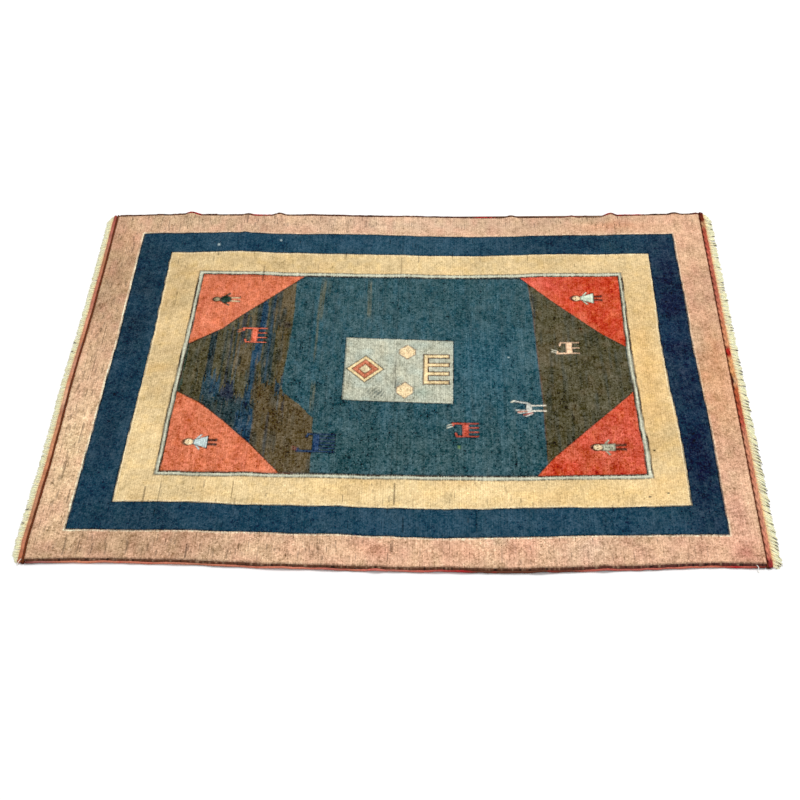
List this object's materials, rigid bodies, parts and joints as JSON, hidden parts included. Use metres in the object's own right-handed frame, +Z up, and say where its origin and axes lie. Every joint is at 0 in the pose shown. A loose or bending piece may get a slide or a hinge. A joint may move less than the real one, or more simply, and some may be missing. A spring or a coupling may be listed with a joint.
{
  "type": "turkish rug",
  "caption": "Hand-knotted wool pile rug lying flat, with overcast side cords, rust bands at the short ends and short cut fringes.",
  "frame": {"origin": "centre of the rug's box, on the floor it lies on", "axes": "+X along the long side, +Y across the rug towards its far long edge, +Z up out of the pile"},
  "size_m": [2.18, 1.5688, 0.026],
  "materials": {
    "pile": "knotted wool pile, matte",
    "selvedge": "wool yarn wrapped round warp cords, matte",
    "end_band": "woven and braided wool, matte",
    "fringe": "cut wool warp ends, matte"
  },
  "bodies": {
    "root": {"rug_body": "pile", "selvedge_near": "selvedge", "selvedge_far": "selvedge", "end_band_left": "end_band", "end_band_right": "end_band", "fringe_left": "fringe", "fringe_right": "fringe"}
  },
  "joints": []
}
